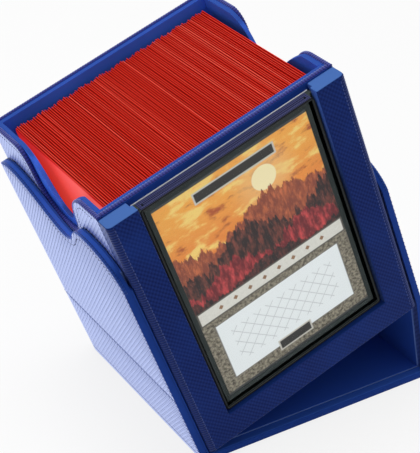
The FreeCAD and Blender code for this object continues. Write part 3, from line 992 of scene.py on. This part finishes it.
def flat_faces(node, toward):
    """Large flat faces of a node that look a given way, each as its normal, offset and outline's segments."""
    mesh = frame["nodes"][node].data
    points, same = np.unique(np.round(leaned_points(node), 7), axis=0, return_inverse=True)
    corners = same.ravel()[triangles(mesh)]
    a, b, c = np.moveaxis(points[corners], 1, 0)
    cross = np.cross(b - a, c - a)
    double = np.linalg.norm(cross, axis=1)
    good = double > 1e-12
    corners, a, double = corners[good], a[good], double[good]
    normals = cross[good] / double[:, None]
    offsets = (normals * a).sum(1)
    planes = np.round(np.column_stack([normals, offsets / MM]), 1)
    least_area, least_facing = 400 * MM * MM, 0.8
    found = []
    for plane in np.unique(planes, axis=0):
        mine = (planes == plane).all(1)
        if plane[:3] @ toward < least_facing or double[mine].sum() / 2 < least_area:
            continue
        sides = np.concatenate([corners[mine][:, pair] for pair in ([0, 1], [1, 2], [2, 0])])
        sides, count = np.unique(np.sort(sides, 1), axis=0, return_counts=True)
        found.append((normals[mine].mean(0), offsets[mine].mean(), points[sides[count == 1]]))
    return found


def wall_ribs(name, node, toward, rise, pitch, height, body, smooth=True):
    """Ribs on the flat outer faces of a board, as low rounded bars cut to the faces' outlines.

    A rib lies where rise . p = (k + 1/4) pitch, on the crests of the board's own material, and thins out at
    its ends."""
    rise = np.asarray(rise, float) / np.linalg.norm(rise)
    inset, taper, shortest = 0.5 * MM, 0.4 * MM, 1.5 * MM
    full = np.array([0.15, 1.0, 1.0, 0.15])
    across = np.array([-0.42, -0.24, 0.0, 0.24, 0.42]) * pitch
    above = np.array([-0.4, 0.75, 1.0, 0.75, -0.4]) * height
    bars = []
    for normal, offset, outline in flat_faces(node, np.asarray(toward, float)):
        normal /= np.linalg.norm(normal)
        along = np.cross(normal, rise)
        along /= np.linalg.norm(along)
        beside = np.cross(along, normal)
        first, second = outline[:, 0] @ rise, outline[:, 1] @ rise
        low, high = min(first.min(), second.min()), max(first.max(), second.max())
        lines = (np.arange(math.ceil(low / pitch), math.floor(high / pitch)) + 0.25)[:, None] * pitch
        gap = np.where(np.abs(second - first) < 1e-9, np.inf, second - first)
        share = (lines - first) / gap
        place = outline[:, 0] @ along + share * ((outline[:, 1] - outline[:, 0]) @ along)
        crossed = (np.minimum(first, second) <= lines) & (lines < np.maximum(first, second))
        place = np.sort(np.where(crossed, place, FAR), 1)[:, :6]
        start, end = place[:, 0::2], place[:, 1::2]
        width = min(start.shape[1], end.shape[1])
        start, end = start[:, :width] + inset, end[:, :width] - inset
        row, column = np.nonzero((end < FAR / 2) & (end - start > shortest))
        start, end = start[row, column], end[row, column]
        shift = (lines[row, 0] - offset * (normal @ rise)) / (beside @ rise)
        stations = np.stack([start, start + taper, end - taper, end], 1)
        bars.append(normal * offset + beside * (shift[:, None, None, None] + across[None, None, :, None])
                    + along * stations[:, :, None, None] + normal * (full[:, None] * above)[None, :, :, None])
    grid = np.concatenate(bars)
    caps = np.array([[4, 3, 2, 1, 0], [15, 16, 17, 18, 19]])
    faces = [*copies(strip_faces(4, 5, close_columns=True), len(grid), 20), *copies(caps, len(grid), 20)]
    return make_piece(name, grid, faces, body, worn(node), smooth)


def edge_ribs(name, node, side, radius, pitch, body, material):
    """Ribs carried round a rounded front edge of a node.

    With u up the edge, the quarter round's radius is grown by 0.14 mm times (1 + sin(2 pi u / pitch)) / 2."""
    low, high = span(node)
    u = np.linspace(low[2] + 0.3 * MM, high[2] - 0.7 * MM, int((high[2] - low[2]) / pitch * 6))
    ridge = (1 + np.sin(2 * np.pi * u / pitch)) / 2
    lap, arc = 0.12, 7
    angle = np.linspace(-lap, np.pi / 2 + lap, arc)
    grown = radius + (0.02 + 0.14 * ridge) * MM
    inner = np.full_like(grown, radius - 0.5 * MM)
    reach = np.concatenate([np.repeat(grown[:, None], arc, 1), np.repeat(inner[:, None], 2, 1)], 1)
    turn = np.concatenate([angle, [angle[-1], angle[0]]])
    edge = low[0] if side < 0 else high[0]
    across = edge - side * radius + side * reach * np.cos(turn)
    grid = join(across, low[1] + radius - reach * np.sin(turn), u[:, None])
    return tube(name, grid, body, material, ridge=ridge)


def stitches(name, path, out, sizes, body, material):
    """A row of stitches along a path: each is an ellipsoid that is long along the path, half sunk in it.

    Each has a pole at either end, and three rings of six points between them."""
    count = int(distances(path)[-1] / sizes.stitch_pitch)
    spots = (np.arange(count) + 0.5) * sizes.stitch_pitch
    centre = points_at(path, spots)
    along = points_at(path, spots + 0.1 * MM) - centre
    along /= np.linalg.norm(along, axis=1)[:, None]
    out = np.asarray(out, float)
    rings, around = 3, 6
    a = np.linspace(0, np.pi, rings + 2)[1:-1, None]
    b = np.linspace(0, 2 * np.pi, around, endpoint=False)[None, :]
    unit = join(np.cos(a), np.sin(a) * np.cos(b), np.sin(a) * np.sin(b)).reshape(-1, 3)
    unit = np.concatenate([[[1.0, 0, 0]], unit, [[-1.0, 0, 0]]])
    unit = unit * np.array([sizes.stitch_length, sizes.stitch_width, sizes.stitch_width * 0.9]) / 2
    axes = np.stack([along, np.cross(along, out), np.broadcast_to(out, along.shape)], 1)
    grid = centre[:, None] + np.einsum("pk,nkd->npd", unit, axes)
    each = len(unit)
    j = np.arange(around)
    k = (j + 1) % around
    start = np.stack([0 * j, 1 + k, 1 + j], 1)
    end = np.stack([0 * j + each - 1, each - 1 - around + j, each - 1 - around + k], 1)
    faces = [*copies(strip_faces(rings, around, close_columns=True) + 1, count, each),
             *copies(np.concatenate([start, end]), count, each)]
    return make_piece(name, grid, faces, body, material)


class DECKBOX_OT_trim(Operator):
    """Roll the rims, sew the stitches, and lay the welt, the seam and the front's ribbed edges"""

    bl_idname = "deckbox.trim"
    bl_label = "Trim the edges"

    def execute(self, context):
        looks = context.scene.deck_box_colours
        sizes = context.scene.deck_box_sizes
        # Each trim is darker in its folds and grooves, painted shade; the case's roll takes its ridges from the
        # rim's painted light
        folds = ridged_material("rolled_leatherette", looks.roll_low, looks.roll, 1.1)
        case_folds = ridged_material("case_roll", shade(looks.edge, 0.7), shade(looks.rim, 0.7), 1.1)
        woven = ridged_material("front_edge_leatherette", looks.groove, looks.ridge, 0.25)
        thread = plain_material("thread_blue", looks.thread, 0.6)
        seam = plain_material("seam_navy", looks.roll_low, 0.6, gloss=0.1)
        welt = plain_material("welt_blue", looks.edge, 0.5, gloss=0.05)
        drawer, pitch = "deck_drawer", sizes.roll_pitch
        # Stitches: how far under a rim, in from the front's sides, short of an end, above the front wall
        drop, inset, margin, above = 2.2 * MM, 2.1 * MM, 1.5 * MM, 0.42 * MM
        for node, side, reach, body, width, proud in RIMS:
            path = rim_path(node, side, reach * MM)
            if side < 0 or body == drawer:
                line = even(path, 1.0 * MM)[1]
                row = line + drop * square_out(line, (1.0, 0.0, 0.0), -1)
                stitches(node + "_stitches", row[3:-3], (side, 0, 0), sizes, body, seam)
            path[:, 0] -= side * (width / 2 - proud) * MM
            wrap = folds if body == drawer else case_folds
            roll(node + "_roll", path, (1, 0, 0), width * MM, (0.1 + 0.3 * width) * MM, pitch, body, wrap)
        for node in ("drawer_front_wall", "drawer_back_wall"):
            low, high = span(node)
            middle, width = (low[1] + high[1]) / 2, high[1] - low[1] - 0.08 * MM
            path = join(np.array([low[0], high[0]]), middle, high[2])
            roll(node + "_roll", path, (0, 1, 0), width, 0.5 * MM, pitch, drawer, folds)
        low, high = span("drawer_front_wall")
        ends = np.array([low[0] + margin, high[0] - margin])
        row = join(ends, low[1] + 1.0 * MM, high[2] + above)
        stitches("front_wall_stitches", row, (0, 0, 1), sizes, drawer, thread)
        low, high = span("display_bezel")
        for side, x in (("left", low[0] + inset), ("right", high[0] - inset)):
            column = join(x, low[1], np.array([high[2] - margin, low[2] + margin]))
            stitches("front_" + side + "_stitches", column, (0, -1, 0), sizes, drawer, thread)
        edge_welt("case_left_welt", "case_left_wall", "case_floor", "case", welt)
        seam_cord("case_left_seam", "case_left_wall", 0.3 * MM, "case", worn("case_left_wall"))
        rib = sizes.front_pitch * 0.8 * MM
        for side, name in ((-1, "front_left_ribs"), (1, "front_right_ribs")):
            edge_ribs(name, "display_bezel", side, sizes.front_round, rib, drawer, woven)
        return {"FINISHED"}


class DECKBOX_OT_ribs(Operator):
    """Raise the leatherette's ribs on the outer faces of the boards and on the display front"""

    bl_idname = "deckbox.ribs"
    bl_label = "Raise the ribs"

    def execute(self, context):
        sizes = context.scene.deck_box_sizes
        for prefix, body, share in (("case", "case", 1.0), ("drawer", "deck_drawer", 0.5)):
            for side, (toward, rise) in WALL_RIBS.items():
                node = prefix + "_" + side + "_wall"
                height = sizes.rib_height * share
                wall_ribs(node + "_ribs", node, toward, rise, sizes.rib_pitch * MM, height, body)
        wall_ribs("display_bezel_ribs", "display_bezel", (0, -1, 0), FRONT_RISE, sizes.front_pitch * MM,
                  sizes.rib_height * 0.3, "deck_drawer", smooth=False)
        return {"FINISHED"}


class DECKBOX_OT_stage(Operator):
    """Set the floor, light and camera"""

    bl_idname = "deckbox.stage"
    bl_label = "Set the stage"

    def execute(self, context):
        set_floor()
        set_light()
        set_camera()
        context.scene.view_settings.view_transform = "Standard"
        return {"FINISHED"}


def seen(tree):
    """1 for rays that the eye sees straight, in a gloss or through the window, and 0 for those that light."""
    path = add(tree, "LightPath").outputs
    straight = calc(tree, "MAXIMUM", path["Is Camera Ray"], path["Is Glossy Ray"])
    return calc(tree, "MAXIMUM", straight, path["Is Transmission Ray"])


def set_floor():
    """A wide pale floor that keeps the soft shadow and is white to the eye and in reflections."""
    reach = 3.0
    corners = [(-reach, -reach, 0), (reach, -reach, 0), (reach, reach, 0), (-reach, reach, 0)]
    mesh = bpy.data.meshes.new("floor")
    mesh.from_pydata(corners, [], [(0, 1, 2, 3)])
    floor = new_object("floor", mesh)
    material, tree, shader = new_material("floor_white")
    setting(tree, shader, Base_Color=(0.93, 0.93, 0.93, 1.0), Roughness=0.9, Specular_IOR_Level=0.0)
    white = add(tree, "Emission", {"Color": (1, 1, 1, 1), "Strength": 1.0})
    mix_surface(tree, calc(tree, "MULTIPLY", seen(tree), 0.82), shader, white)
    mesh.materials.append(material)


def set_light():
    """A white surround and one large soft lamp overhead."""
    world = bpy.data.worlds.new("surround")
    bpy.context.scene.world = world
    world.use_nodes = True
    tree = world.node_tree
    background = tree.nodes["Background"].inputs
    put(tree, background["Strength"], calc(tree, "MULTIPLY_ADD", seen(tree), 0.6, 0.4))
    put(tree, background["Color"], (1, 1, 1, 1))
    data = give(bpy.data.lights.new("overhead", "AREA"), shape="DISK", size=0.9, energy=10.0)
    lamp = new_object("overhead", data)
    lamp.location = (-0.25, 0.15, 1.2)
    lamp.rotation_euler = Vector((-0.25, 0.15, 1.15)).to_track_quat("Z", "Y").to_euler()


def set_camera():
    """The camera at the photograph's place: its rows are right, up and back, its lens from the focus."""
    look = Vector(LOOK).normalized()
    right = Vector(RIGHT)
    right = (right - look * right.dot(look)).normalized()
    up = right.cross(look)
    longest = max(PICTURE)
    data = give(bpy.data.cameras.new("camera"), sensor_width=SENSOR, lens=FOCUS * SENSOR / longest,
                shift_x=(PICTURE[0] / 2 - AIM[0]) / longest, shift_y=(AIM[1] - PICTURE[1] / 2) / longest,
                clip_start=0.01)
    camera = new_object("camera", data)
    turn = Matrix((right, up, -look)).transposed().to_4x4()
    camera.matrix_world = Matrix.Translation(EYE) @ turn
    bpy.context.scene.camera = camera


OPERATORS = (DECKBOX_OT_case, DECKBOX_OT_drawer, DECKBOX_OT_linings, DECKBOX_OT_hardware, DECKBOX_OT_showcase,
             DECKBOX_OT_deck, DECKBOX_OT_trim, DECKBOX_OT_ribs, DECKBOX_OT_stage)


class VIEW3D_PT_deck_box(Panel):
    """The steps that dress the deck box, and their sizes and colours"""

    bl_label = "Deck box"
    bl_idname = "VIEW3D_PT_deck_box"
    bl_space_type = "VIEW_3D"
    bl_region_type = "UI"
    bl_category = "Deck box"

    def draw(self, context):
        for step in OPERATORS:
            self.layout.operator(step.bl_idname)
        for group in (context.scene.deck_box_sizes, context.scene.deck_box_colours):
            for name in group.__annotations__:
                self.layout.prop(group, name)


CLASSES = (DeckBoxSizes, DeckBoxColours, *OPERATORS, VIEW3D_PT_deck_box)


def register():
    """Register the classes and give scenes their settings."""
    for each in CLASSES:
        bpy.utils.register_class(each)
    bpy.types.Scene.deck_box_sizes = PointerProperty(type=DeckBoxSizes)
    bpy.types.Scene.deck_box_colours = PointerProperty(type=DeckBoxColours)


def unregister():
    """Take the settings and the classes away again."""
    del bpy.types.Scene.deck_box_colours
    del bpy.types.Scene.deck_box_sizes
    for each in reversed(CLASSES):
        bpy.utils.unregister_class(each)


def main():
    """Run every step in order and keep the CAD box and the dressed box."""
    register()
    bpy.ops.deckbox.case()
    bpy.ops.deckbox.drawer()
    bpy.ops.deckbox.linings()
    bpy.ops.deckbox.hardware()
    bpy.ops.deckbox.showcase()
    bpy.ops.deckbox.deck()
    bpy.ops.deckbox.trim()
    bpy.ops.deckbox.ribs()
    bpy.ops.deckbox.stage()


if __name__ == "__main__":
    main()
